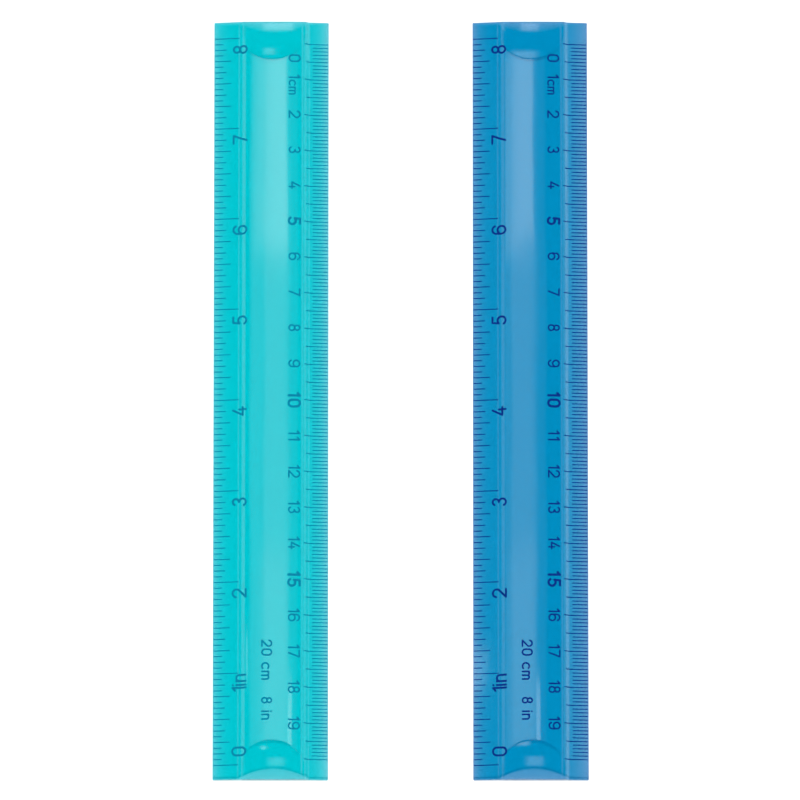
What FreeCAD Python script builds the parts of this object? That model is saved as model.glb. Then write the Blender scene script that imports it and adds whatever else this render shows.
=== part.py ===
import FreeCAD, Part
import Sketcher
import math
import os
from FreeCAD import Placement, Rotation, Vector

# A pair of loose moulded rulers, one teal and one blue, lying side by side on a table.
# X runs across the rulers, from the inch edge to the centimetre edge.
# Y runs along them, towards the end that carries 8 inches and 0 centimetres.
# Z is up from the table. The origin is on the table, midway between the two rulers.
# Each ruler is drawn with its inch edge on X = 0, and its Placement sets it beside the other.

os.makedirs("parts", exist_ok=True)
doc = FreeCAD.newDocument("RulerPair")

# Driving dimensions, in millimetres. Heights are above the table.
driving = {
    "ruler_length": 212.0,
    "ruler_width": 31.7,
    "ruler_spacing": 71.5,
    "inch_edge_thickness": 0.65,
    "inch_bevel_width": 7.9,
    "inch_foot_height": 2.3,
    "cm_edge_thickness": 0.55,
    "cm_bevel_width": 5.3,
    "cm_foot_height": 1.35,
    "crown_offset": 16.2,
    "crown_height": 3.5,
    "crown_radius": 45.0,
    "crown_inch_side": 8.6,
    "crown_cm_side": 25.2,
    "crown_edge_round": 1.6,
    "foot_hollow": 0.8,
    "corner_round": 0.3,
    "scoop_half_width": 9.0,
    "scoop_reach": 10.8,
    "scoop_lip_height": 2.6,
    "scoop_side_height": 2.4,
    "scoop_headroom": 3.0,
    "scoop_sweep": 40.0,
    "ink_thickness": 0.05,
    "line_width": 0.25,
    "line_edge_gap": 0.15,
    "print_shift": 0.3,
    "inch_length": 25.4,
    "whole_inch_reach": 7.0,
    "half_inch_reach": 4.7,
    "quarter_inch_reach": 4.7,
    "eighth_inch_reach": 3.4,
    "sixteenth_inch_reach": 2.5,
    "centimetre_length": 10.0,
    "centimetre_reach": 6.7,
    "half_centimetre_reach": 6.2,
    "millimetre_reach": 4.4,
    "inch_numeral_height": 4.15,
    "inch_numeral_stroke": 0.55,
    "inch_numeral_base": 9.3,
    "inch_numeral_drop": 3.2,
    "inch_zero_rise": 3.7,
    "inch_one_drop": 4.65,
    "inch_unit_drop": 1.9,
    "centimetre_numeral_height": 3.35,
    "centimetre_numeral_stroke": 0.42,
    "centimetre_bold_height": 3.75,
    "centimetre_bold_stroke": 0.64,
    "centimetre_numeral_middle": 22.3,
    "centimetre_zero_drop": 4.2,
    "centimetre_one_rise": 0.85,
    "centimetre_unit_drop": 2.4,
    "centimetre_unit_height": 2.7,
    "centimetre_unit_stroke": 0.36,
    "legend_height": 3.1,
    "legend_stroke": 0.46,
    "legend_base": 13.3,
    "legend_middle": -78.5,
}
INCHES = 8
CENTIMETRES = 20
MILLIMETRES_PER_HALF = 5
BOLD_EVERY = 5
RULERS = {"teal": -1, "blue": 1}
LEAST = 1e-4  # mm, for telling whether two places are the same

sheet = doc.addObject("Spreadsheet::Sheet", "Sizes")
for row, (name, value) in enumerate(driving.items(), start=1):
    sheet.set(f"A{row}", name)
    sheet.set(f"B{row}", str(value))
    sheet.setAlias(f"B{row}", name)
doc.recompute()


def size(name):
    return float(getattr(sheet, name))


def origin_feature(body, role):
    return next(item for item in body.Origin.OriginFeatures if item.Role == role)


def new_body(label, side):
    body = doc.addObject("PartDesign::Body", "Body_" + label)
    body.Label = label
    body.AllowCompound = True
    body.setExpression("Placement.Base.x", ruler_place(side))
    return body


def ruler_place(side):
    return f"{side} * Sizes.ruler_spacing / 2 - Sizes.ruler_width / 2"


def section_plane_sketch(body, name):
    # Its own x is the ruler's X, its own y is Z, and it faces the ruler's -Y end.
    sketch = body.newObject("Sketcher::SketchObject", name)
    sketch.AttachmentSupport = [(origin_feature(body, "XZ_Plane"), "")]
    sketch.MapMode = "FlatFace"
    return sketch


def bind(sketch, rules):
    # rules: constraint name, the constraint's own arguments, and what it is bound to.
    for name, arguments, formula in rules:
        index = sketch.addConstraint(Sketcher.Constraint(*arguments))
        sketch.renameConstraint(index, name)
        sketch.setExpression("Constraints." + name, formula)


# The section: a level underside, a thin bevelled edge on each side that carries a scale, and a
# gently arched crown between them, with a short steep flank down to each bevel.
def draw_section(body):
    sketch = section_plane_sketch(body, "Section_" + body.Label)
    width = size("ruler_width")
    radius = size("crown_radius")
    centre_place = Vector(size("crown_offset"), size("crown_height") - radius, 0)

    def on_crown(across):
        return Vector(across, centre_place.y + math.sqrt(radius**2 - (across - centre_place.x) ** 2), 0)

    corner = Vector(0, 0, 0)
    far_corner = Vector(width, 0, 0)
    cm_edge = Vector(width, size("cm_edge_thickness"), 0)
    cm_foot = Vector(width - size("cm_bevel_width"), size("cm_foot_height"), 0)
    cm_brow = on_crown(size("crown_cm_side"))
    crown_top = Vector(size("crown_offset"), size("crown_height"), 0)
    inch_brow = on_crown(size("crown_inch_side"))
    inch_foot = Vector(size("inch_bevel_width"), size("inch_foot_height"), 0)
    inch_edge = Vector(0, size("inch_edge_thickness"), 0)
    sketch.addGeometry(
        [
            Part.LineSegment(corner, far_corner),
            Part.LineSegment(far_corner, cm_edge),
            Part.LineSegment(cm_edge, cm_foot),
            Part.LineSegment(cm_foot, cm_brow),
            Part.Arc(cm_brow, crown_top, inch_brow),
            Part.LineSegment(inch_brow, inch_foot),
            Part.LineSegment(inch_foot, inch_edge),
            Part.LineSegment(inch_edge, corner),
        ],
        False,
    )
    underside, cm_side, cm_bevel, cm_flank, crown, inch_flank, inch_bevel, inch_side = range(8)
    start, end, centre, root = 1, 2, 3, -1
    joins = [
        ("Coincident", underside, start, root, start),
        ("Coincident", underside, end, cm_side, start),
        ("Coincident", cm_side, end, cm_bevel, start),
        ("Coincident", cm_bevel, end, cm_flank, start),
        ("Coincident", cm_flank, end, crown, start),
        ("Coincident", crown, end, inch_flank, start),
        ("Coincident", inch_flank, end, inch_bevel, start),
        ("Coincident", inch_bevel, end, inch_side, start),
        ("Coincident", inch_side, end, underside, start),
        ("Horizontal", underside),
        ("Vertical", cm_side),
        ("Vertical", inch_side),
    ]
    sketch.addConstraint([Sketcher.Constraint(*join) for join in joins])
    across, up = "DistanceX", "DistanceY"
    rules = [
        ("Width", (across, underside, start, underside, end, width), "Sizes.ruler_width"),
        ("CmEdge", (up, cm_side, start, cm_side, end, cm_edge.y), "Sizes.cm_edge_thickness"),
        ("CmBevel", (across, cm_bevel, end, cm_bevel, start, width - cm_foot.x), "Sizes.cm_bevel_width"),
        ("CmFoot", (up, root, start, cm_bevel, end, cm_foot.y), "Sizes.cm_foot_height"),
        ("CmBrow", (across, root, start, crown, start, cm_brow.x), "Sizes.crown_cm_side"),
        ("InchEdge", (up, inch_side, end, inch_side, start, inch_edge.y), "Sizes.inch_edge_thickness"),
        ("InchBevel", (across, inch_bevel, end, inch_bevel, start, inch_foot.x), "Sizes.inch_bevel_width"),
        ("InchFoot", (up, root, start, inch_bevel, start, inch_foot.y), "Sizes.inch_foot_height"),
        ("InchBrow", (across, root, start, crown, end, inch_brow.x), "Sizes.crown_inch_side"),
        ("CrownMiddle", (across, root, start, crown, centre, crown_top.x), "Sizes.crown_offset"),
        ("CrownRadius", ("Radius", crown, radius), "Sizes.crown_radius"),
        ("CrownCentre", (up, crown, centre, root, start, -centre_place.y),
         "Sizes.crown_radius - Sizes.crown_height"),
    ]
    bind(sketch, rules)
    return sketch


def soften(body, name, base, places, radius):
    # Rounds the long edges of the bar that lie at these places across it, if they are above the table.
    chosen = []
    for index, edge in enumerate(base.Shape.Edges, start=1):
        box = edge.BoundBox
        along = box.YLength > size("ruler_length") / 2
        if along and box.ZMin > LEAST and any(abs(box.Center.x - place) < LEAST for place in places):
            chosen.append(f"Edge{index}")
    fillet = body.newObject("PartDesign::Fillet", f"{name}_{body.Label}")
    fillet.Base = (base, chosen)
    fillet.setExpression("Radius", "Sizes." + radius)
    doc.recompute()
    return fillet


# The thumb scoop: a shallow groove across the crown at each end. Its floor is lowest on the end
# face and curves up inwards until it meets the crown, so its rim is a D.
def draw_scoop(body):
    sketch = section_plane_sketch(body, "Scoop_" + body.Label)
    depth = "(Sizes.crown_height - Sizes.scoop_lip_height)"
    floor_radius = f"((Sizes.scoop_reach ^ 2 / {depth} + {depth}) / 2)"
    sketch.setExpression("AttachmentOffset.Base.y", f"Sizes.scoop_lip_height + {floor_radius}")
    sketch.setExpression("AttachmentOffset.Base.z", "-Sizes.ruler_length / 2")
    doc.recompute()
    axis_height = sketch.AttachmentOffset.Base.y
    middle = size("crown_offset")
    left, right = middle - size("scoop_half_width"), middle + size("scoop_half_width")
    foot = size("scoop_side_height") - axis_height
    lip = size("scoop_lip_height") - axis_height
    top = size("crown_height") + size("scoop_headroom") - axis_height
    arch = Part.Arc(Vector(right, foot, 0), Vector(middle, lip, 0), Vector(left, foot, 0))
    sketch.addGeometry(
        [
            arch,
            Part.LineSegment(Vector(left, foot, 0), Vector(left, top, 0)),
            Part.LineSegment(Vector(left, top, 0), Vector(right, top, 0)),
            Part.LineSegment(Vector(right, top, 0), Vector(right, foot, 0)),
        ],
        False,
    )
    arched, left_wall, roof, right_wall = range(4)
    start, end, root = 1, 2, -1
    joins = [
        ("Coincident", arched, end, left_wall, start),
        ("Coincident", left_wall, end, roof, start),
        ("Coincident", roof, end, right_wall, start),
        ("Coincident", right_wall, end, arched, start),
        ("Vertical", left_wall),
        ("Vertical", right_wall),
        ("Horizontal", roof),
    ]
    sketch.addConstraint([Sketcher.Constraint(*join) for join in joins])
    arch_depth = "(Sizes.scoop_lip_height - Sizes.scoop_side_height)"
    arch_radius = f"(Sizes.scoop_half_width ^ 2 / {arch_depth} + {arch_depth}) / 2"
    axis_above = f"{floor_radius} + Sizes.scoop_lip_height"
    bind(
        sketch,
        [
            ("Left", ("DistanceX", root, start, left_wall, start, left),
             "Sizes.crown_offset - Sizes.scoop_half_width"),
            ("Right", ("DistanceX", root, start, right_wall, start, right),
             "Sizes.crown_offset + Sizes.scoop_half_width"),
            ("Foot", ("DistanceY", left_wall, start, root, start, -foot),
             f"{axis_above} - Sizes.scoop_side_height"),
            ("OtherFoot", ("DistanceY", right_wall, end, root, start, -foot),
             f"{axis_above} - Sizes.scoop_side_height"),
            ("Roof", ("DistanceY", roof, start, root, start, -top),
             f"{axis_above} - Sizes.crown_height - Sizes.scoop_headroom"),
            ("Arch", ("Radius", arched, arch.toShape().Curve.Radius), arch_radius),
        ],
    )
    return sketch


def cut_scoops(body):
    groove = body.newObject("PartDesign::Groove", "EndScoop_" + body.Label)
    groove.Profile = draw_scoop(body)
    groove.ReferenceAxis = (groove.Profile[0], ["H_Axis"])
    groove.Midplane = True
    groove.setExpression("Angle", "Sizes.scoop_sweep")
    doc.recompute()
    mirrored = body.newObject("PartDesign::Mirrored", "BothScoops_" + body.Label)
    mirrored.Originals = [groove]
    mirrored.MirrorPlane = (origin_feature(body, "XZ_Plane"), [""])
    body.Tip = mirrored
    doc.recompute()
    return mirrored


def round_corners(body, base):
    width, half_length = size("ruler_width"), size("ruler_length") / 2
    corners = []
    for index, edge in enumerate(base.Shape.Edges, start=1):
        ends = [vertex.Point for vertex in edge.Vertexes]
        upright = len(ends) == 2 and (ends[1] - ends[0]).cross(Vector(0, 0, 1)).Length < LEAST
        outer = upright and min(abs(ends[0].x), abs(ends[0].x - width)) < LEAST
        if outer and abs(abs(ends[0].y) - half_length) < LEAST:
            corners.append(f"Edge{index}")
    fillet = body.newObject("PartDesign::Fillet", "Corners_" + body.Label)
    fillet.Base = (base, corners)
    fillet.setExpression("Radius", "Sizes.corner_round")
    body.Tip = fillet


def mould_ruler(colour, side):
    body = new_body(f"{colour}_moulded_ruler", side)
    pad = body.newObject("PartDesign::Pad", "Bar_" + body.Label)
    pad.Profile = draw_section(body)
    pad.Midplane = True
    pad.setExpression("Length", "Sizes.ruler_length")
    doc.recompute()
    brows = (size("crown_inch_side"), size("crown_cm_side"))
    feet = (size("inch_bevel_width"), size("ruler_width") - size("cm_bevel_width"))
    rounded = soften(body, "Brows", pad, brows, "crown_edge_round")
    bar = soften(body, "Feet", rounded, feet, "foot_hollow")
    scooped = cut_scoops(body)
    print(body.Label, "scoops take off", round(bar.Shape.Volume - scooped.Shape.Volume, 2), "mm3")
    round_corners(body, scooped)
    doc.recompute()
    return bar


# The ink lies on the moulding as a film of even height. The whole print sits print_shift nearer
# the 0 inch end than the middle of the ruler.
def ink_film(bar):
    raised = bar.Shape.copy()
    raised.translate(Vector(0, 0, size("ink_thickness")))
    return raised.cut(bar.Shape)


def clear_height():
    # Tall enough to pass through the ink anywhere on the ruler.
    return 2 * size("crown_height")


def film_outline(film, left, right):
    # The film's own section between two places across the ruler, laid flat for a sketch.
    slab = Part.makeBox(right - left, size("line_width"), clear_height(), Vector(left, 0, 0))
    piece = film.common(slab)
    face = min(piece.Faces, key=lambda side_face: side_face.CenterOfMass.y)
    outline = []
    for edge in face.OuterWire.OrderedEdges:
        flat = edge.copy()
        flat.rotate(Vector(0, 0, 0), Vector(1, 0, 0), -90)
        if isinstance(edge.Curve, Part.Line):
            outline.append(Part.LineSegment(*[vertex.Point for vertex in flat.Vertexes]))
        else:
            middle = flat.valueAt((flat.FirstParameter + flat.LastParameter) / 2)
            outline.append(Part.Arc(flat.Vertexes[0].Point, middle, flat.Vertexes[1].Point))
    return outline


def print_lines(film, label, side, edge, reach, first, step, count):
    # One kind of line: drawn once and repeated along the ruler. first and step are formulas.
    body = new_body(label, side)
    sketch = section_plane_sketch(body, "Line_" + label)
    sketch.setExpression("AttachmentOffset.Base.z", f"-({first})")
    gap = size("line_edge_gap")
    if edge == "inch":
        across = (gap, size(reach))
    else:
        across = (size("ruler_width") - size(reach), size("ruler_width") - gap)
    sketch.addGeometry(film_outline(film, *across), False)
    pad = body.newObject("PartDesign::Pad", "Stroke_" + label)
    pad.Profile = sketch
    pad.Midplane = True
    pad.setExpression("Length", "Sizes.line_width")
    doc.recompute()
    pattern = body.newObject("PartDesign::LinearPattern", "Row_" + label)
    pattern.Originals = [pad]
    pattern.Direction = (origin_feature(body, "Y_Axis"), [""])
    pattern.Occurrences = count
    pattern.setExpression("Length", f"{step} * {count - 1}")
    body.Tip = pattern
    doc.recompute()


def print_inch_lines(film, colour, side):
    zero = f"(-{INCHES} * Sizes.inch_length / 2 - Sizes.print_shift)"
    kinds = {
        "whole_inch": (0, 1, INCHES + 1),
        "half_inch": (1 / 2, 1, INCHES),
        "quarter_inch": (1 / 4, 1 / 2, 2 * INCHES),
        "eighth_inch": (1 / 8, 1 / 4, 4 * INCHES),
        "sixteenth_inch": (1 / 16, 1 / 8, 8 * INCHES),
    }
    for kind, (offset, spacing, count) in kinds.items():
        first = f"{zero} + {offset} * Sizes.inch_length"
        step = f"{spacing} * Sizes.inch_length"
        print_lines(film, f"{colour}_{kind}_lines", side, "inch", f"{kind}_reach", first, step, count)


def print_centimetre_lines(film, colour, side):
    zero = f"(-{CENTIMETRES} * Sizes.centimetre_length / 2 - Sizes.print_shift)"
    whole = "Sizes.centimetre_length"
    for kind, offset, count in (("centimetre", 0, CENTIMETRES + 1), ("half_centimetre", 0.5, CENTIMETRES)):
        first = f"{zero} + {offset} * {whole}"
        print_lines(film, f"{colour}_{kind}_lines", side, "cm", f"{kind}_reach", first, whole, count)


def print_millimetre_lines(film, colour, side):
    # Four lines in each half centimetre, so four rows that each repeat every 5 mm.
    body = new_body(f"{colour}_millimetre_lines", side)
    across = (size("ruler_width") - size("millimetre_reach"), size("ruler_width") - size("line_edge_gap"))
    outline = film_outline(film, *across)
    rows = 2 * CENTIMETRES
    for place in range(1, MILLIMETRES_PER_HALF):
        sketch = section_plane_sketch(body, f"Millimetre_{colour}_{place}")
        zero = f"{CENTIMETRES} * Sizes.centimetre_length / 2 + Sizes.print_shift"
        sketch.setExpression("AttachmentOffset.Base.z", f"{zero} - {place} * Sizes.centimetre_length / 10")
        sketch.addGeometry(outline, False)
        pad = body.newObject("PartDesign::Pad", f"MillimetreStroke_{colour}_{place}")
        pad.Profile = sketch
        pad.Midplane = True
        pad.setExpression("Length", "Sizes.line_width")
        doc.recompute()
        pattern = body.newObject("PartDesign::LinearPattern", f"MillimetreRow_{colour}_{place}")
        pattern.Originals = [pad]
        pattern.Direction = (origin_feature(body, "Y_Axis"), [""])
        pattern.Occurrences = rows
        pattern.setExpression("Length", f"Sizes.centimetre_length / 2 * {rows - 1}")
        body.Tip = pattern
        doc.recompute()


# Lettering. Each character is a set of strokes on a grid 10 high, with its feet on 0. A stroke is
# a chain of points, or an arc given by its centre, radius and two angles, run anticlockwise.
CAP = 10.0
DIGIT_WIDTH = 6.0
UPPER, LOWER = 2.35, 2.65  # radii of the two bowls of an 8
LETTER_GAP = 0.9  # between two letters, in stroke widths
CHARACTERS = {
    "0": [((0, 3), (0, 7)), ((6, 3), (6, 7)), ("arc", (3, 7), 3, 0, 180), ("arc", (3, 3), 3, 180, 360)],
    "1": [((1.0, 8.0), (3.2, 10), (3.2, 0))],
    "2": [("arc", (3, 7), 3, -38, 170), ((5.36, 5.15), (0, 0), (6, 0))],
    "3": [("arc", (3, 10 - UPPER), UPPER, -90, 155), ("arc", (3, LOWER), LOWER, -155, 90)],
    "4": [((3.6, 10), (0, 2.6), (6, 2.6)), ((4.3, 5.2), (4.3, 0))],
    "5": [((5.4, 10), (1.1, 10), (0.7, 5.2)), ("arc", (2.95, 3.05), 3.05, -150, 137)],
    "6": [("arc", (3, 7), 3, 20, 180), ((0, 7), (0, 3)), ("arc", (3, 3), 3, 0, 360)],
    "7": [((0, 10), (6, 10), (2.3, 0))],
    "8": [("arc", (3, 10 - UPPER), UPPER, 0, 360), ("arc", (3, LOWER), LOWER, 0, 360)],
    "9": [("arc", (3, 3), 3, 200, 360), ((6, 3), (6, 7)), ("arc", (3, 7), 3, 0, 360)],
    "i": [((0, 0), (0, 7)), ((0, 9.6), (0, 9.7))],
    "n": [((0, 0), (0, 7)), ("arc", (2.4, 4.6), 2.4, 0, 180), ((4.8, 4.6), (4.8, 0))],
    "c": [("arc", (3.2, 3.5), 3.5, 50, 310)],
    "m": [
        ((0, 0), (0, 7)),
        ("arc", (2.0, 5.0), 2.0, 0, 180),
        ((4.0, 5.0), (4.0, 0)),
        ("arc", (6.0, 5.0), 2.0, 0, 180),
        ((8.0, 5.0), (8.0, 0)),
    ],
    " ": [],
}
WIDTHS = {"1": 3.2, "i": 0.0, "n": 4.8, "c": 5.4, "m": 8.0, " ": 2.0}


def straight_stroke(start, end, width, height):
    run = end - start
    bar = Part.makeBox(run.Length, width, height, Vector(0, -width / 2, 0))
    bar.Placement = Placement(start, Rotation(Vector(1, 0, 0), run))
    return [bar] + [Part.makeCylinder(width / 2, height, place) for place in (start, end)]


def round_stroke(centre, radius, from_angle, to_angle, width, height):
    turn = to_angle - from_angle
    up = Vector(0, 0, 1)
    outer = Part.makeCylinder(radius + width / 2, height, Vector(), up, turn)
    ring = outer.cut(Part.makeCylinder(radius - width / 2, height))
    ring.Placement = Placement(centre, Rotation(up, from_angle))
    solids = [ring]
    if turn < 360:
        for angle in (from_angle, to_angle):
            tip = centre + Vector(math.cos(math.radians(angle)), math.sin(math.radians(angle)), 0) * radius
            solids.append(Part.makeCylinder(width / 2, height, tip))
    return solids


def character(letter, cap_height, stroke, left, height):
    # The upright solid of one character whose ink starts at left and whose feet are on 0.
    scale = (cap_height - stroke) / CAP
    origin = Vector(left + stroke / 2, stroke / 2, 0)
    solids = []
    for mark in CHARACTERS[letter]:
        if mark[0] == "arc":
            centre = origin + Vector(*mark[1], 0) * scale
            solids += round_stroke(centre, mark[2] * scale, mark[3], mark[4], stroke, height)
        else:
            points = [origin + Vector(*point, 0) * scale for point in mark]
            for start, end in zip(points, points[1:]):
                solids += straight_stroke(start, end, stroke, height)
    if not solids:
        return None
    return solids[0].multiFuse(solids[1:]) if solids[1:] else solids[0]


def lettering(text, cap_height, stroke, height):
    # Reads along +X with its feet on Y = 0 and its middle on X = 0.
    scale = (cap_height - stroke) / CAP
    gap = stroke * LETTER_GAP
    left, letters = 0.0, []
    for letter in text:
        solid = character(letter, cap_height, stroke, left, height)
        if solid is not None:
            letters.append(solid)
        left += WIDTHS.get(letter, DIGIT_WIDTH) * scale + stroke + gap
    block = Part.makeCompound(letters)
    block.translate(Vector(-(left - gap) / 2, 0, 0))
    return block


def print_lettering(film, label, side, blocks, turn):
    # blocks: (text, cap height, stroke, the place of the middle of its feet).
    pieces = []
    for text, cap_height, stroke, place in blocks:
        upright = lettering(text, cap_height, stroke, clear_height())
        upright.Placement = Placement(place, Rotation(Vector(0, 0, 1), turn)).multiply(upright.Placement)
        pieces += [film.common(letter) for letter in upright.childShapes()]
    printed = doc.addObject("Part::Feature", "Print_" + label)
    printed.Label = label
    printed.Shape = Part.makeCompound([solid for piece in pieces for solid in piece.Solids])
    printed.setExpression("Placement.Base.x", ruler_place(side))


READS_UP, READS_DOWN = 90, -90


def print_inch_lettering(film, colour, side):
    cap, stroke, base = (size("inch_numeral_" + part) for part in ("height", "stroke", "base"))
    zero = -INCHES * size("inch_length") / 2 - size("print_shift")
    one = zero + size("inch_length")
    numerals = [
        ("0", cap, stroke, Vector(base, zero + size("inch_zero_rise"), 0)),
        ("1", cap, stroke, Vector(base, one - size("inch_one_drop"), 0)),
    ]
    for inch in range(2, INCHES + 1):
        middle = zero + inch * size("inch_length") - size("inch_numeral_drop")
        numerals.append((str(inch), cap, stroke, Vector(base, middle, 0)))
    letters = [("in", cap, stroke, Vector(base, one - size("inch_unit_drop"), 0))]
    print_lettering(film, f"{colour}_inch_numerals", side, numerals, READS_UP)
    print_lettering(film, f"{colour}_inch_unit_letters", side, letters, READS_UP)


def print_centimetre_lettering(film, colour, side):
    middle = size("centimetre_numeral_middle")
    zero = CENTIMETRES * size("centimetre_length") / 2 - size("print_shift")
    one = zero - size("centimetre_length")
    numerals = []
    for mark in range(CENTIMETRES):
        bold = mark > 0 and mark % BOLD_EVERY == 0
        weight = "centimetre_bold_" if bold else "centimetre_numeral_"
        cap, stroke = size(weight + "height"), size(weight + "stroke")
        along = zero - mark * size("centimetre_length")
        if mark == 0:
            along -= size("centimetre_zero_drop")
        if mark == 1:
            along += size("centimetre_one_rise")
        numerals.append((str(mark), cap, stroke, Vector(middle - cap / 2, along, 0)))
    cap, stroke = size("centimetre_unit_height"), size("centimetre_unit_stroke")
    base = middle - size("centimetre_numeral_height") / 2
    letters = [("cm", cap, stroke, Vector(base, one - size("centimetre_unit_drop"), 0))]
    print_lettering(film, f"{colour}_centimetre_numerals", side, numerals, READS_DOWN)
    print_lettering(film, f"{colour}_centimetre_unit_letters", side, letters, READS_DOWN)


def print_legend(film, colour, side):
    # The plain length of the ruler, in both of its units.
    text = f"{CENTIMETRES} cm   {INCHES} in"
    place = Vector(size("legend_base"), size("legend_middle"), 0)
    block = (text, size("legend_height"), size("legend_stroke"), place)
    print_lettering(film, f"{colour}_length_legend", side, [block], READS_DOWN)


for colour, side in RULERS.items():
    bar = mould_ruler(colour, side)
    film = ink_film(bar)
    print_inch_lines(film, colour, side)
    print_centimetre_lines(film, colour, side)
    print_millimetre_lines(film, colour, side)
    print_inch_lettering(film, colour, side)
    print_centimetre_lettering(film, colour, side)
    print_legend(film, colour, side)
doc.recompute()

failed = [item.Name for item in doc.Objects if {"Invalid", "Error"} & set(item.State)]
if failed:
    raise RuntimeError(f"these objects failed: {failed}")

pieces = [item for item in doc.Objects if item.TypeId in ("PartDesign::Body", "Part::Feature")]
for piece in pieces:
    if piece.Shape.isNull() or not piece.Shape.isValid():
        raise RuntimeError(f"{piece.Label} has no valid shape")
for piece in pieces:
    piece.Shape.exportStep(f"parts/{piece.Label}.step")
    print(piece.Label, len(piece.Shape.Solids), "solids,", round(piece.Shape.Volume, 3), "mm3")
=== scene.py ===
import math
import bpy
import numpy as np
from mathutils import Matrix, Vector


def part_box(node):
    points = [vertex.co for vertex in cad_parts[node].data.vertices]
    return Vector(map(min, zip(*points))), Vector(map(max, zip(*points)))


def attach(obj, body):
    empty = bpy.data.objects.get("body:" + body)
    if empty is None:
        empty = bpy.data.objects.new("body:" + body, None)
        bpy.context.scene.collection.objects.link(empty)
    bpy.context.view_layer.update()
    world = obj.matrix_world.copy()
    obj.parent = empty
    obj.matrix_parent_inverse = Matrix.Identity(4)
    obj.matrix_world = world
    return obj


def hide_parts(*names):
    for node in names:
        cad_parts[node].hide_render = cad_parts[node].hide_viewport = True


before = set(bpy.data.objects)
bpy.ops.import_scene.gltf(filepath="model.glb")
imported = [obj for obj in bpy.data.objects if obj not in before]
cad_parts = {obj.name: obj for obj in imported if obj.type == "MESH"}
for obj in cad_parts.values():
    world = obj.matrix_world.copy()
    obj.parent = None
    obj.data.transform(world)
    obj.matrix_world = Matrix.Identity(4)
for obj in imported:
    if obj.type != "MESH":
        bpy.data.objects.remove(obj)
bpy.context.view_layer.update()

mm = 0.001
mmPerMetre = 1000  # a pattern's scale is this over its size in mm
print("frame loaded:", len(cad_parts), "nodes")

# Two loose moulded rulers. Each one is a clear tinted polystyrene shell that stands for its CAD
# moulding, with the CAD's own printed lines and numerals lying on it.

rulerShape = {  # mm, as in the part's own sizes; x is measured from the inch edge
    "width": 31.7,
    "length": 212.0,
    "inchEdge": 0.65,
    "inchFoot": (7.9, 2.3),
    "inchBrow": 8.6,
    "crownMiddle": 16.2,
    "crownHeight": 3.5,
    "crownRadius": 45.0,
    "cmBrow": 25.2,
    "cmFoot": (26.4, 1.35),
    "cmEdge": 0.55,
    "browRound": 1.6,
    "footHollow": 0.8,
    "cornerRound": 0.3,
    "scoopHalfWidth": 9.0,
    "scoopReach": 10.8,
    "scoopLip": 2.6,
    "scoopSide": 2.4,
    "endRound": 0.25,  # the softened top edge of each end
    "clearOfInk": 0.004,  # the shell lies at least this far under the print
}

rulers = {  # each pale pair: how pale the thin edge is, partly its lighter tint and partly a painted sheen, and how fast that goes per mm of thickness
    "teal": {"body": "teal_ruler", "waveStart": 0.0, "inchPale": (0.72, 4.3), "cmPale": (0.72, 4.3)},
    "blue": {"body": "blue_ruler", "waveStart": 2.1, "inchPale": (0.85, 3.6), "cmPale": (0.62, 1.9)},
}

shellGrid = {  # how finely the shell is divided, in points unless it says otherwise
    "inchBevel": 26,
    "inchBevelEase": 1.6,  # over 1 brings the points closer near the foot
    "foot": 9,
    "brow": 13,
    "crown": 64,
    "cmBevel": 16,
    "firstRows": [0, 0.01, 0.03, 0.06],  # shares of the way from the end to the scoop's rim
    "evenRowsFrom": 0.1,
    "evenRows": 30,
    "leastRim": 0.75,  # mm, what a shorter rim, or none, counts as
    "pastRim": 16,
    "pastRimEase": 1.5,  # over 1 brings the rows closer near the rim
    "endZone": 18.0,  # mm from the end, where the rows have evened out
    "middleRows": 120,
    "floorRun": 1.4,  # scoop reaches from the end, after which its floor stays level, above the crown
    "sharpFrom": 30,  # degrees
}


def arcPoints(centre, radius, startPoint, endPoint, count):
    # The centre plus the radius times the cosine and sine of evenly spaced angles, from one point of
    # the circle to another, the short way round.
    startAngle = math.atan2(startPoint[1] - centre[1], startPoint[0] - centre[0])
    endAngle = math.atan2(endPoint[1] - centre[1], endPoint[0] - centre[0])
    turn = (endAngle - startAngle + math.pi) % (2 * math.pi) - math.pi
    angles = startAngle + turn * np.linspace(0, 1, count)
    return np.stack([centre[0] + radius * np.cos(angles), centre[1] + radius * np.sin(angles)], axis=1)


def hollowCorner(before, corner, after, radius):
    # The arc that rounds a corner of two straight runs. It touches each run at the radius over the
    # tangent of half the corner's angle, and its centre is at the radius over that half's sine.
    before, corner, after = (np.array(point, float) for point in (before, corner, after))
    back = (before - corner) / np.linalg.norm(before - corner)
    ahead = (after - corner) / np.linalg.norm(after - corner)
    halfAngle = math.acos(np.dot(back, ahead)) / 2
    reach = radius / math.tan(halfAngle)
    middle = (back + ahead) / np.linalg.norm(back + ahead)
    centre = corner + middle * radius / math.sin(halfAngle)
    return arcPoints(centre, radius, corner + back * reach, corner + ahead * reach, shellGrid["foot"])


def browCorner(foot, brow, crownCentre, crownRadius, radius):
    # The arc between a straight flank and the crown. Its centre is one radius inside both, so it lies
    # on a line beside the flank, where a quadratic gives its distance from the crown's centre.
    foot, brow, crownCentre = (np.array(point, float) for point in (foot, brow, crownCentre))
    along = (brow - foot) / np.linalg.norm(brow - foot)
    inward = np.array([along[1], -along[0]])
    if np.dot(inward, crownCentre - foot) < 0:
        inward = -inward
    start = foot + inward * radius - crownCentre
    half = np.dot(start, along)
    reach = -half + math.sqrt(half**2 - np.dot(start, start) + (crownRadius - radius) ** 2)
    centre = crownCentre + start + along * reach
    outward = (centre - crownCentre) / np.linalg.norm(centre - crownCentre)
    ends = (centre - inward * radius, centre + outward * radius)
    return arcPoints(centre, radius, *ends, shellGrid["brow"])


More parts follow.
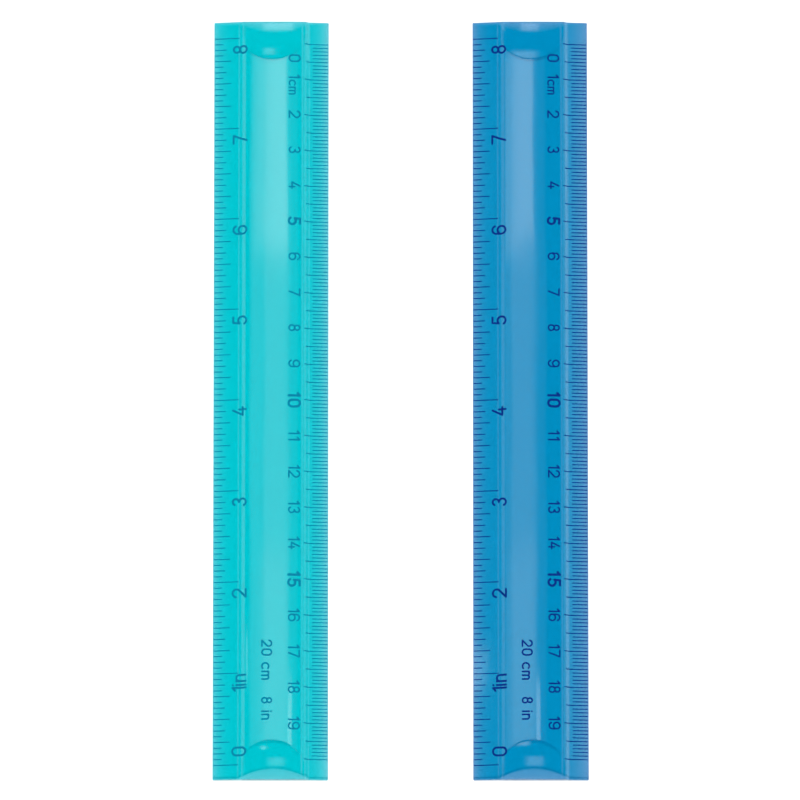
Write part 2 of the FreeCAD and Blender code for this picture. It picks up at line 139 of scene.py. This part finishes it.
def topProfile(shape):
    # The top of the section from the inch edge to the centimetre edge, as (x, z) points in mm: a
    # straight bevel, a hollow foot, a straight flank, a rounded brow, the crown's arc, and the same
    # again to the other edge.
    crownRadius = shape["crownRadius"]
    crownCentre = (shape["crownMiddle"], shape["crownHeight"] - crownRadius)

    def onCrown(x):
        return (x, crownCentre[1] + math.sqrt(crownRadius**2 - (x - crownCentre[0]) ** 2))

    inchEdge = (0, shape["inchEdge"])
    cmEdge = (shape["width"], shape["cmEdge"])
    inchBrow, cmBrow = onCrown(shape["inchBrow"]), onCrown(shape["cmBrow"])
    inchHollow = hollowCorner(inchEdge, shape["inchFoot"], inchBrow, shape["footHollow"])
    cmHollow = hollowCorner(cmBrow, shape["cmFoot"], cmEdge, shape["footHollow"])
    inchRound = browCorner(shape["inchFoot"], inchBrow, crownCentre, crownRadius, shape["browRound"])
    cmRound = browCorner(shape["cmFoot"], cmBrow, crownCentre, crownRadius, shape["browRound"])
    crown = arcPoints(crownCentre, crownRadius, inchRound[-1], cmRound[-1], shellGrid["crown"])
    eased = 1 - np.linspace(1, 0, shellGrid["inchBevel"])[:, None] ** shellGrid["inchBevelEase"]
    inchBevel = np.array(inchEdge) + eased * (inchHollow[0] - np.array(inchEdge))
    cmBevel = np.linspace(cmHollow[-1], cmEdge, shellGrid["cmBevel"])
    runs = [inchBevel, inchHollow[1:], inchRound, crown[1:], cmRound[::-1][1:], cmHollow, cmBevel[1:]]
    return np.concatenate(runs)


def scoopFloor(shape, x):
    # The floor's line over x on the end face, an arc, and the height of the axis that it turns about.
    # Each circle's radius comes from a chord: (half chord squared / rise + rise) / 2.
    depth = shape["crownHeight"] - shape["scoopLip"]
    axisHeight = shape["scoopLip"] + (shape["scoopReach"] ** 2 / depth + depth) / 2
    rise = shape["scoopLip"] - shape["scoopSide"]
    archRadius = (shape["scoopHalfWidth"] ** 2 / rise + rise) / 2
    across = np.clip(x - shape["crownMiddle"], -archRadius, archRadius)
    arch = shape["scoopLip"] - archRadius + np.sqrt(archRadius**2 - across**2)
    return arch, axisHeight


def scoopRim(shape, x, z):
    # How far from the end the scoop's floor, a circle about its axis, comes up to the height z: the
    # root of the floor's radius squared less the height under the axis squared.
    arch, axisHeight = scoopFloor(shape, x)
    return np.sqrt(np.maximum((axisHeight - arch) ** 2 - (axisHeight - z) ** 2, 0))


def sectionRows(shape, x, z):
    # Distances from one end, in mm, of every row over x: the first rows are shares of the way to the
    # scoop's rim, and the others even out by a power of their share of the way to the end zone.
    inScoop = np.abs(x - shape["crownMiddle"]) < shape["scoopHalfWidth"]
    rim = np.maximum(np.where(inScoop, scoopRim(shape, x, z), 0), shellGrid["leastRim"])
    evenRows = np.linspace(shellGrid["evenRowsFrom"], 1, shellGrid["evenRows"])
    insideScoop = np.concatenate([shellGrid["firstRows"], evenRows])
    beyond = np.linspace(0, 1, shellGrid["pastRim"])[1:] ** shellGrid["pastRimEase"]
    nearEnd = insideScoop[:, None] * rim[None, :]
    pastRim = rim[None, :] + beyond[:, None] * (shellGrid["endZone"] - rim[None, :])
    return np.concatenate([nearEnd, pastRim])


def plateThickness(shape, x, z, fromEnd):
    # Top height over the grid: the section or the scoop's floor, whichever is lower, less what a
    # quarter circle takes off along the end.
    arch, axisHeight = scoopFloor(shape, x)
    floorRun = np.minimum(fromEnd, shape["scoopReach"] * shellGrid["floorRun"])
    floor = axisHeight - np.sqrt((axisHeight - arch) ** 2 - floorRun**2)
    inScoop = np.abs(x - shape["crownMiddle"]) < shape["scoopHalfWidth"]
    height = np.where(inScoop, np.minimum(z, floor), z)
    lost = np.clip(shape["endRound"] - fromEnd, 0, None)
    return height - (shape["endRound"] - np.sqrt(np.maximum(shape["endRound"] ** 2 - lost**2, 0)))


sinkWaves = {  # how the bare crown sank while it cooled
    "halfWidth": 8.0,  # mm
    "clearEnds": 0.08,  # shares of the ruler's length
    "fadeOver": 0.1,
    # mm deep, then how many waves there are over the length and over the half width
    "swell": {"depth": 0.045, "along": 3.1, "across": 0.2},
    "ripple": {"depth": 0.006, "along": 9.7, "across": 0.7},
}


def sunkWave(wave, along, across, start):
    # The depth times a sine raised to run from 0 to 1, slanting across the crown.
    turns = wave["along"] * along + wave["across"] * across
    return wave["depth"] * (0.5 + 0.5 * np.sin(2 * math.pi * turns + start))


def mouldingWaves(shape, x, y, start):
    # A slow sine and a quicker one, times the square of a parabola that ends at the half width, times
    # a straight fade near each end of the ruler.
    along = (y + shape["length"] / 2) / shape["length"]
    across = np.clip((x - shape["crownMiddle"]) / sinkWaves["halfWidth"], -1, 1)
    bare = (1 - across**2) ** 2
    clearEnds, fadeOver = sinkWaves["clearEnds"], sinkWaves["fadeOver"]
    fade = np.clip((along - clearEnds) / fadeOver, 0, 1) * np.clip((1 - clearEnds - along) / fadeOver, 0, 1)
    swell = sunkWave(sinkWaves["swell"], along, across, start)
    ripple = sunkWave(sinkWaves["ripple"], along, across, 2 * start)
    return bare * fade * (swell + ripple)


paleness = {  # mm; a level runs from 0, the deep tint, to 1, the pale one: the thin plastic's lighter tint, with painted highlights at the creases and a painted pale glow at the ends
    "thinnest": 0.6,  # the thickness that has a ruler's full pale level
    "paintedCreaseHighlights": [  # painted highlights along the creases: place, half width, level
        (7.0, 0.16, 0.3),
        (8.5, 0.3, 0.08),
        (24.4, 0.2, 0.4),
        (25.9, 0.4, 0.14),
    ],
    "archOffset": 0.5,  # of the painted pale ends' arched edge from the crown's middle
    "archHalfWidth": 9.6,
    "nearReach": (0.45, 2.7),  # how far in at the sides, and how much more in the middle
    "nearEdge": 0.3,  # how wide the near end's pale edge is
    "nearLevel": (0.75, 0.1),  # on the end face, and how much less per mm in from it
    "farReach": (0.9, 2.3),
    "farLevel": 0.8,
    "farEase": 1.2,
}

paintedShadeLines = {  # mm; painted shade along the scoops' rims and the ridge inside the near end; strengths run from 0 to 1
    "rimInset": 0.6,
    "rim": {"halfWidth": 0.26, "strength": 0.8},
    "ridge": {"halfWidth": 0.22, "strength": 0.6, "setBack": 0.25},
}


def bell(distance, halfWidth):
    # e to the power of minus the square of the distance over the half width.
    return np.exp(-((distance / halfWidth) ** 2))


def archedReach(shape, x, reach):
    # How far in from an end over x: the first number, plus the second times a parabola that is 1 in
    # the middle and 0 at the sides.
    fromMiddle = np.abs(x - shape["crownMiddle"] - paleness["archOffset"]) / paleness["archHalfWidth"]
    return reach[0] + reach[1] * np.clip(1 - fromMiddle**2, 0, 1)


def paleTintAndPaintedSheen(shape, place, x, y, height):
    # How pale the plastic is painted, from 0 to 1, worked out from the shape instead of traced: partly
    # the lighter tint of thin plastic, partly painted highlight. It is the largest of these: outside the
    # crown, the thin plastic's lighter tint with a painted sheen, a level times e to minus a rate times
    # the thickness; a painted highlight as a bell at each crease; near one end, a painted pale glow at a
    # level that falls with the distance in as far as the arched ridge; and near the other, a painted
    # pale glow as a power of the share left of the arched reach.
    inchSide = x < shape["crownMiddle"]
    level = np.where(inchSide, place["inchPale"][0], place["cmPale"][0])
    fall = np.where(inchSide, place["inchPale"][1], place["cmPale"][1])
    outside = (x < shape["inchBrow"]) | (x > shape["cmBrow"])
    paleAndSheen = np.where(outside, level * np.exp(-fall * (height - paleness["thinnest"])), 0)
    for middle, halfWidth, lineLevel in paleness["paintedCreaseHighlights"]:
        paleAndSheen = np.maximum(paleAndSheen, lineLevel * bell(x - middle, halfWidth))
    nearEnd = y + shape["length"] / 2
    farEnd = shape["length"] / 2 - y
    insideRidge = (archedReach(shape, x, paleness["nearReach"]) - nearEnd) / paleness["nearEdge"]
    nearLevel, nearFall = paleness["nearLevel"]
    nearPale = np.clip(insideRidge, 0, 1) * (nearLevel - nearFall * nearEnd)
    farShare = np.clip(1 - farEnd / archedReach(shape, x, paleness["farReach"]), 0, 1)
    farPale = paleness["farLevel"] * farShare ** paleness["farEase"]
    return np.clip(np.maximum(paleAndSheen, np.maximum(nearPale, farPale)), 0, 1)


def paintedEdgeShade(shape, x, y, z):
    # Painted shade where the glass edge of a ridge looks dark, from 0 to 1: a bell over the scoops' rims,
    # which fades to their sides as a parabola, and a bell over the ridge just inside the near end.
    rim, ridge = paintedShadeLines["rim"], paintedShadeLines["ridge"]
    fromMiddle = np.abs(x - shape["crownMiddle"])
    fromEnd = shape["length"] / 2 - np.abs(y)
    inScoop = fromMiddle < shape["scoopHalfWidth"] - paintedShadeLines["rimInset"]
    fade = np.clip(1 - (fromMiddle / shape["scoopHalfWidth"]) ** 2, 0, 1)
    rimLine = np.where(inScoop, fade * bell(fromEnd - scoopRim(shape, x, z), rim["halfWidth"]), 0)
    fromRidge = y + shape["length"] / 2 - archedReach(shape, x, paleness["nearReach"]) - ridge["setBack"]
    ridgeLine = bell(fromRidge, ridge["halfWidth"])
    return np.clip(rim["strength"] * rimLine + ridge["strength"] * ridgeLine, 0, 1)


def roundedCorners(shape, x, fromEnd):
    # Near an end each row is drawn in evenly, by what a quarter circle takes off at the corners.
    radius = shape["cornerRound"]
    lost = np.clip(radius - fromEnd, 0, None)
    inset = radius - np.sqrt(radius**2 - lost**2)
    return inset + x * (shape["width"] - 2 * inset) / shape["width"]


def shellFaces(rows, columns):
    # Squares over the top sheet, the same turned over below it, and a wall of squares round the rim.
    number = np.arange(rows * columns).reshape(rows, columns)
    top = np.stack([number[:-1, :-1], number[:-1, 1:], number[1:, 1:], number[1:, :-1]], axis=-1)
    top = top.reshape(-1, 4)
    rim = np.concatenate([number[0, :], number[1:, -1], number[-1, -2::-1], number[-2:0:-1, 0]])
    after = np.roll(rim, -1)
    below = rows * columns
    walls = np.stack([rim + below, after + below, after, rim], axis=-1)
    return np.concatenate([top, top[:, ::-1] + below, walls])


def mouldRuler(colour, place):
    # The shell is two sheets over one grid, the top at the section's height and the underside on
    # the table, joined round their rim by a wall of straight strips.
    shape = rulerShape
    profile = topProfile(shape)
    nearEnd = sectionRows(shape, profile[:, 0], profile[:, 1])
    half = shape["length"] / 2
    zone = shellGrid["endZone"]
    middle = np.linspace(-half + zone, half - zone, shellGrid["middleRows"])[1:-1, None]
    y = np.concatenate([nearEnd - half, middle * np.ones(len(profile)), (half - nearEnd)[::-1]])
    x = profile[None, :, 0] * np.ones_like(y)
    z = profile[None, :, 1] * np.ones_like(y)
    fromEnd = half - np.abs(y)
    height = plateThickness(shape, x, z, fromEnd)
    height -= mouldingWaves(shape, x, y, place["waveStart"]) + shape["clearOfInk"]
    low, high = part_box(f"{colour}_moulded_ruler")
    worldX = low[0] + roundedCorners(shape, x, fromEnd) * mm
    worldY = (low[1] + high[1]) / 2 + y * mm
    top = np.stack([worldX, worldY, low[2] + height * mm], axis=-1)
    under = np.stack([worldX, worldY, np.full_like(worldX, low[2])], axis=-1)
    faces = shellFaces(*y.shape)
    points = np.concatenate([top.reshape(-1, 3), under.reshape(-1, 3)])
    mesh = bpy.data.meshes.new(f"{colour}ShellMesh")
    mesh.from_pydata(points.tolist(), [], faces.tolist())
    mesh.update()
    mesh.polygons.foreach_set("use_smooth", np.ones(len(faces), dtype=bool))
    mesh.set_sharp_from_angle(angle=math.radians(shellGrid["sharpFrom"]))
    # painted paleness, highlights and shade, worked out from the shape and carried as attributes
    looks = {"paleTintAndPaintedSheen": paleTintAndPaintedSheen(shape, place, x, y, height), "paintedShade": paintedEdgeShade(shape, x, y, z)}
    for name, values in looks.items():
        layer = mesh.attributes.new(name, "FLOAT", "POINT")
        layer.data.foreach_set("value", np.tile(values.reshape(-1), 2).astype(np.float32))
    shell = bpy.data.objects.new(f"{colour}_clear_ruler", mesh)
    bpy.context.scene.collection.objects.link(shell)
    shell.visible_shadow = False  # clear plastic lets the lamp through to the table
    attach(shell, place["body"])
    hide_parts(f"{colour}_moulded_ruler")
    print(colour, "shell:", len(faces), "faces")
    return shell


shells = {colour: mouldRuler(colour, place) for colour, place in rulers.items()}


def linear(hexColour):
    # An sRGB hex colour as linear red, green, blue and alpha, by the sRGB standard's own curve.
    parts = [int(hexColour[i:i + 2], 16) / 255 for i in (1, 3, 5)]
    return tuple(c / 12.92 if c <= 0.04045 else ((c + 0.055) / 1.055) ** 2.4 for c in parts) + (1.0,)


def newMaterial(name):
    # A material whose node tree is still empty.
    material = bpy.data.materials.new(name)
    material.use_nodes = True
    material.node_tree.nodes.clear()
    return material, material.node_tree


def addNode(tree, kind, settings=None, inputs=None, links=None):
    # Adds one node, sets its properties and inputs, and links its inputs from (node, output) pairs.
    node = tree.nodes.new(kind)
    for name, value in (settings or {}).items():
        setattr(node, name, value)
    for name, value in (inputs or {}).items():
        node.inputs[name].default_value = value
    for name, (source, output) in (links or {}).items():
        tree.links.new(source.outputs[output], node.inputs[name])
    return node


# a Mix node's sockets go by number, because their names repeat
mixFactor, mixColourA, mixColourB, mixedColour = 0, 6, 7, 2
mixNumberA, mixNumberB, mixedNumber = 2, 3, 0

polystyrene = {
    # deep is the tint, pale the thin plastic's lighter tint mixed with painted highlight, and the third
    # colour painted shade along the rims
    "teal": {"deep": "#00c6cf", "pale": "#8accd8", "paintedShade": "#009eac", "glass": "#00fafa", "absorbed": 350.0},
    "blue": {"deep": "#0095c2", "pale": "#87a2cb", "paintedShade": "#006395", "glass": "#00fafb", "absorbed": 350.0},
    "ior": 1.59,
    "clearness": 0.86,  # the rest is a faint haze that carries the tint
    "roughness": 0.035,
    "handledRoughness": 2.2,  # times the roughness, in the dullest spots
    "spotSize": 0.35,  # mm, about the finest that the camera can tell apart
    "spotRange": (0.35, 0.75),  # the noise levels between polished and dullest
    "flowWidth": 9.0,  # mm, of the faint drag lines along the mould's flow
    "flowStretch": 0.12,  # under 1 draws them out along the ruler
    "flowStrength": 0.35,
    "flowDepth": 0.00006,  # metres
}


def clearPolystyrene(colour):
    # Injection-moulded general purpose polystyrene, tinted in the melt and polished by its mould:
    # clear with a faint tinted haze, deep where it is thick and paler at its thin edges, partly from the
    # thinner tint and partly a painted sheen, with painted highlights along the creases, a painted pale
    # glow at the ends and painted shade along the scoops' rims, a hard wet gloss, faint flow lines
    # along it and slightly duller spots from handling.
    settings = polystyrene[colour]
    material, tree = newMaterial(f"{colour}ClearPolystyrene")
    place = addNode(tree, "ShaderNodeTexCoord")
    # the paleness attribute: partly the thin plastic's lighter tint, partly painted highlight and glow
    paleAndSheen = addNode(tree, "ShaderNodeAttribute", {"attribute_name": "paleTintAndPaintedSheen"})
    tint = addNode(
        tree, "ShaderNodeMix", {"data_type": "RGBA"},
        {mixColourA: linear(settings["deep"]), mixColourB: linear(settings["pale"])},
        {mixFactor: (paleAndSheen, "Fac")},
    )
    # painted shade along the scoops' rims and the near end's ridge
    paintedShade = addNode(tree, "ShaderNodeAttribute", {"attribute_name": "paintedShade"})
    withPaintedShade = addNode(
        tree, "ShaderNodeMix", {"data_type": "RGBA"},
        {mixColourB: linear(settings["paintedShade"])}, {mixFactor: (paintedShade, "Fac"), mixColourA: (tint, mixedColour)},
    )
    stretch = addNode(
        tree, "ShaderNodeMapping", inputs={"Scale": (1.0, polystyrene["flowStretch"], 1.0)},
        links={"Vector": (place, "Object")},
    )
    flow = addNode(
        tree, "ShaderNodeTexNoise",
        inputs={"Scale": mmPerMetre / polystyrene["flowWidth"], "Detail": 2.0},
        links={"Vector": (stretch, "Vector")},
    )
    spots = addNode(
        tree, "ShaderNodeTexNoise",
        inputs={"Scale": mmPerMetre / polystyrene["spotSize"], "Detail": 1.0},
        links={"Vector": (place, "Object")},
    )
    handling = addNode(
        tree, "ShaderNodeMapRange",
        inputs={
            "From Min": polystyrene["spotRange"][0],
            "From Max": polystyrene["spotRange"][1],
            "To Min": polystyrene["roughness"],
            "To Max": polystyrene["roughness"] * polystyrene["handledRoughness"],
        },
        links={"Value": (spots, "Fac")},
    )
    bump = addNode(
        tree, "ShaderNodeBump",
        inputs={"Strength": polystyrene["flowStrength"], "Distance": polystyrene["flowDepth"]},
        links={"Height": (flow, "Fac")},
    )
    shader = addNode(
        tree, "ShaderNodeBsdfPrincipled",
        inputs={"Transmission Weight": polystyrene["clearness"], "IOR": polystyrene["ior"]},
        links={
            "Base Color": (withPaintedShade, mixedColour),
            "Roughness": (handling, "Result"),
            "Normal": (bump, "Normal"),
        },
    )
    depth = addNode(
        tree, "ShaderNodeVolumeAbsorption",
        inputs={"Color": linear(settings["glass"]), "Density": settings["absorbed"]},
    )
    addNode(
        tree, "ShaderNodeOutputMaterial",
        links={"Surface": (shader, "BSDF"), "Volume": (depth, "Volume")},
    )
    return material


ink = {
    "teal": {"wet": "#006581", "dry": "#006f8c"},
    "blue": {"wet": "#001f64", "dry": "#00286e"},
    "threadSpacing": 0.12,  # mm
    "threadStrength": 0.3,
    "threadDepth": 0.00001,  # metres
    "patchSize": 3.0,  # mm, the cloudy patches where the ink went on thicker
    "roughness": 0.85,
    "gloss": 0.12,
}


def screenInk(colour):
    # Solvent ink pushed through a screen: dense, flat and nearly matt, a little deeper in patches. The
    # screen's threads are left in it at their real size, which is too fine to show from the camera.
    # They aren't drawn coarser, because the printed lines are only about two threads wide.
    settings = ink[colour]
    material, tree = newMaterial(f"{colour}ScreenPrintInk")
    place = addNode(tree, "ShaderNodeTexCoord")
    threads = addNode(
        tree, "ShaderNodeTexVoronoi", inputs={"Scale": mmPerMetre / ink["threadSpacing"]},
        links={"Vector": (place, "Object")},
    )
    density = addNode(
        tree, "ShaderNodeTexNoise", inputs={"Scale": mmPerMetre / ink["patchSize"], "Detail": 3.0},
        links={"Vector": (place, "Object")},
    )
    shade = addNode(
        tree, "ShaderNodeMix", {"data_type": "RGBA"},
        {mixColourA: linear(settings["wet"]), mixColourB: linear(settings["dry"])},
        {mixFactor: (density, "Fac")},
    )
    bump = addNode(
        tree, "ShaderNodeBump",
        inputs={"Strength": ink["threadStrength"], "Distance": ink["threadDepth"]},
        links={"Height": (threads, "Distance")},
    )
    shader = addNode(
        tree, "ShaderNodeBsdfPrincipled",
        inputs={"Roughness": ink["roughness"], "Specular IOR Level": ink["gloss"]},
        links={"Base Color": (shade, mixedColour), "Normal": (bump, "Normal")},
    )
    addNode(tree, "ShaderNodeOutputMaterial", links={"Surface": (shader, "BSDF")})
    return material


for colour in rulers:
    shells[colour].data.materials.append(clearPolystyrene(colour))
    printed = screenInk(colour)
    for name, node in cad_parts.items():
        if name.startswith(colour + "_") and name != f"{colour}_moulded_ruler":
            node.visible_shadow = False  # so fine a print leaves hardly any shadow under a large lamp
            for slot in node.material_slots:
                slot.material = printed
print("materials on")


studio = {  # lengths in metres
    "tableSize": 6.0,
    "tableDrop": 0.00005,  # how far the table lies under the rulers
    "tableColour": "#f4f4f4",
    "tableLamp": {"height": 2.0, "size": 3.0, "tableBrightness": 1.05},
    "skySeen": 1.05,  # where the camera looks past the table
    "skyHorizon": 0.7,  # what the sides of the plastic mirror
    "skyOverhead": 0.01,
    "skyFrom": 0.7,  # the height on the sky's dome where it starts to darken
    "skyTo": 0.9,
}

softbox = {  # metres; it hangs over the rulers and shows only as pale shapes mirrored in them
    "height": 0.525,
    "step": 0.002,
    "left": -0.24,
    "right": 0.16,
    "near": -0.21,
    "far": 0.42,
    # each patch: where it starts, is full, starts to fade and ends, across and then along; its glow
    "patches": [
        ((-0.115, -0.075, 0.020, 0.100), (-0.026, -0.020, 0.206, 0.214), 0.95),  # the diffuser
        ((-0.205, -0.170, -0.120, -0.085), (-0.026, -0.020, 0.206, 0.214), 0.5),  # its dimmer left side
        ((0.030, 0.060, 0.115, 0.150), (-0.026, -0.020, 0.206, 0.214), 0.17),  # and right side
        ((-0.200, -0.110, 0.040, 0.066), (0.1365, 0.1465, 0.206, 0.214), 1.0),  # its bright far half
        ((-0.110, -0.020, 0.040, 0.066), (0.1300, 0.1450, 0.206, 0.214), 0.65),
        ((-0.165, -0.085, 0.052, 0.085), (-0.026, -0.020, 0.038, 0.052), 0.42),  # its near corner
        ((0.066, 0.072, 0.092, 0.100), (-0.026, -0.018, -0.002, 0.006), 2.2),  # a strip lamp beside it
        ((-0.062, -0.050, -0.012, -0.002), (0.212, 0.216, 0.248, 0.262), 2.2),  # lamps beyond its far end
        ((0.022, 0.030, 0.048, 0.058), (0.212, 0.216, 0.250, 0.264), 2.2),
        ((-0.060, -0.052, -0.042, -0.034), (0.335, 0.350, 0.368, 0.385), 1.4),
        ((0.000, 0.014, 0.040, 0.062), (0.345, 0.372, 0.404, 0.412), 1.8),
        ((-0.062, -0.058, -0.054, -0.048), (-0.170, -0.164, -0.158, -0.152), 3.0),  # and its near end
        ((0.000, 0.008, 0.030, 0.040), (-0.200, -0.188, -0.176, -0.164), 2.2),
        ((-0.050, -0.040, -0.024, -0.012), (-0.126, -0.114, -0.094, -0.080), 1.0),
        ((0.026, 0.036, 0.054, 0.064), (-0.130, -0.118, -0.094, -0.080), 1.3),
        ((-0.226, -0.216, -0.2025, -0.2005), (0.004, 0.009, 0.016, 0.0225), 1.6),  # a small one to its left
    ],
}


def layTable():
    # One large matt white square.
    half = studio["tableSize"] / 2
    corners = [(-half, -half), (half, -half), (half, half), (-half, half)]
    mesh = bpy.data.meshes.new("tableMesh")
    mesh.from_pydata([(x, y, -studio["tableDrop"]) for x, y in corners], [], [(0, 1, 2, 3)])
    table = bpy.data.objects.new("white_table", mesh)
    bpy.context.scene.collection.objects.link(table)
    material, tree = newMaterial("matteWhiteTable")
    shader = addNode(
        tree, "ShaderNodeBsdfPrincipled",
        inputs={"Base Color": linear(studio["tableColour"]), "Roughness": 1.0, "Specular IOR Level": 0.0},
    )
    addNode(tree, "ShaderNodeOutputMaterial", links={"Surface": (shader, "BSDF")})
    mesh.materials.append(material)


def lightSky():
    # White where the camera sees it. In the plastic it is mirrored as a room with a dark ceiling.
    world = bpy.data.worlds.new("studioSky")
    bpy.context.scene.world = world
    world.use_nodes = True
    tree = world.node_tree
    tree.nodes.clear()
    direction = addNode(tree, "ShaderNodeTexCoord")
    split = addNode(tree, "ShaderNodeSeparateXYZ", links={"Vector": (direction, "Generated")})
    mirrored = addNode(
        tree, "ShaderNodeMapRange", {"interpolation_type": "SMOOTHSTEP"},
        {"From Min": studio["skyFrom"], "From Max": studio["skyTo"],
         "To Min": studio["skyHorizon"], "To Max": studio["skyOverhead"]},
        {"Value": (split, "Z")},
    )
    ray = addNode(tree, "ShaderNodeLightPath")
    strength = addNode(
        tree, "ShaderNodeMix", {"data_type": "FLOAT"}, {mixNumberB: studio["skySeen"]},
        {mixFactor: (ray, "Is Camera Ray"), mixNumberA: (mirrored, "Result")},
    )
    background = addNode(
        tree, "ShaderNodeBackground", inputs={"Color": (1, 1, 1, 1)},
        links={"Strength": (strength, mixedNumber)},
    )
    addNode(tree, "ShaderNodeOutputWorld", links={"Surface": (background, "Background")})


def hangTableLamp():
    # One large lamp lights the table evenly. It isn't mirrored, so it leaves no highlight.
    settings = studio["tableLamp"]
    light = bpy.data.lights.new("tableLamp", "AREA")
    light.shape = "SQUARE"
    light.size = settings["size"]
    half, up = settings["size"] / 2, settings["height"]
    # how much of the table's sky a square lamp fills, seen from under its middle
    reach = math.hypot(half, up)
    share = 4 / math.pi * half / reach * math.atan(half / reach)
    radiance = settings["tableBrightness"] / (share * linear(studio["tableColour"])[0])
    light.energy = radiance * math.pi * settings["size"] ** 2
    lamp = bpy.data.objects.new("tableLamp", light)
    lamp.location = (0, 0, up)
    lamp.visible_camera = False
    lamp.visible_glossy = False
    lamp.visible_transmission = False
    bpy.context.scene.collection.objects.link(lamp)


def window(values, edges):
    # 0 outside and 1 inside: a rise over the first two edges times a fall over the others, each of
    # them 3 times the square of its share less 2 times the cube.
    rise = np.clip((values - edges[0]) / (edges[1] - edges[0]), 0, 1)
    fall = np.clip((edges[3] - values) / (edges[3] - edges[2]), 0, 1)
    return (3 * rise**2 - 2 * rise**3) * (3 * fall**2 - 2 * fall**3)


def hangSoftbox():
    # A level sheet of cloth. Its glow is the sum of its patches, each one its level times a window
    # across times a window along.
    across = np.arange(softbox["left"], softbox["right"], softbox["step"])
    along = np.arange(softbox["near"], softbox["far"], softbox["step"])
    x, y = np.meshgrid(across, along)
    glow = sum(level * window(x, xEdges) * window(y, yEdges) for xEdges, yEdges, level in softbox["patches"])
    points = np.stack([x, y, np.full_like(x, softbox["height"])], axis=-1).reshape(-1, 3)
    number = np.arange(x.size).reshape(x.shape)
    faces = np.stack([number[:-1, :-1], number[1:, :-1], number[1:, 1:], number[:-1, 1:]], axis=-1)
    mesh = bpy.data.meshes.new("softboxMesh")
    mesh.from_pydata(points.tolist(), [], faces.reshape(-1, 4).tolist())
    layer = mesh.attributes.new("glow", "FLOAT", "POINT")
    layer.data.foreach_set("value", glow.reshape(-1).astype(np.float32))
    box = bpy.data.objects.new("softbox", mesh)
    bpy.context.scene.collection.objects.link(box)
    material, tree = newMaterial("softboxCloth")
    glowNode = addNode(tree, "ShaderNodeAttribute", {"attribute_name": "glow"})
    emission = addNode(tree, "ShaderNodeEmission", links={"Strength": (glowNode, "Fac")})
    addNode(tree, "ShaderNodeOutputMaterial", links={"Surface": (emission, "Emission")})
    mesh.materials.append(material)
    for kind in ("camera", "diffuse", "transmission", "shadow", "volume_scatter"):
        setattr(box, "visible_" + kind, False)


camera = {
    "tilt": 10.0,  # degrees from straight down, towards the 0 inch end
    "distance": 3.5,  # metres
    "frameSpan": 0.2205,  # metres across the picture
    "aim": (-0.00018, 0.0, 0.0),
    "sensor": 36.0,  # mm
    "seesTo": 50,  # metres
}


def placeCamera():
    # The lens is the sensor's width times the distance over the span that it has to take in.
    data = bpy.data.cameras.new("camera")
    data.sensor_width = camera["sensor"]
    data.lens = camera["sensor"] * camera["distance"] / camera["frameSpan"]
    data.clip_end = camera["seesTo"]
    eye = bpy.data.objects.new("camera", data)
    tilt = math.radians(camera["tilt"])
    aim = Vector(camera["aim"])
    eye.location = aim + Vector((0, -math.sin(tilt), math.cos(tilt))) * camera["distance"]
    eye.rotation_euler = (tilt, 0, 0)
    bpy.context.scene.collection.objects.link(eye)
    bpy.context.scene.camera = eye


layTable()
lightSky()
hangTableLamp()
hangSoftbox()
placeCamera()
bpy.context.scene.view_settings.view_transform = "Standard"
print("studio set")
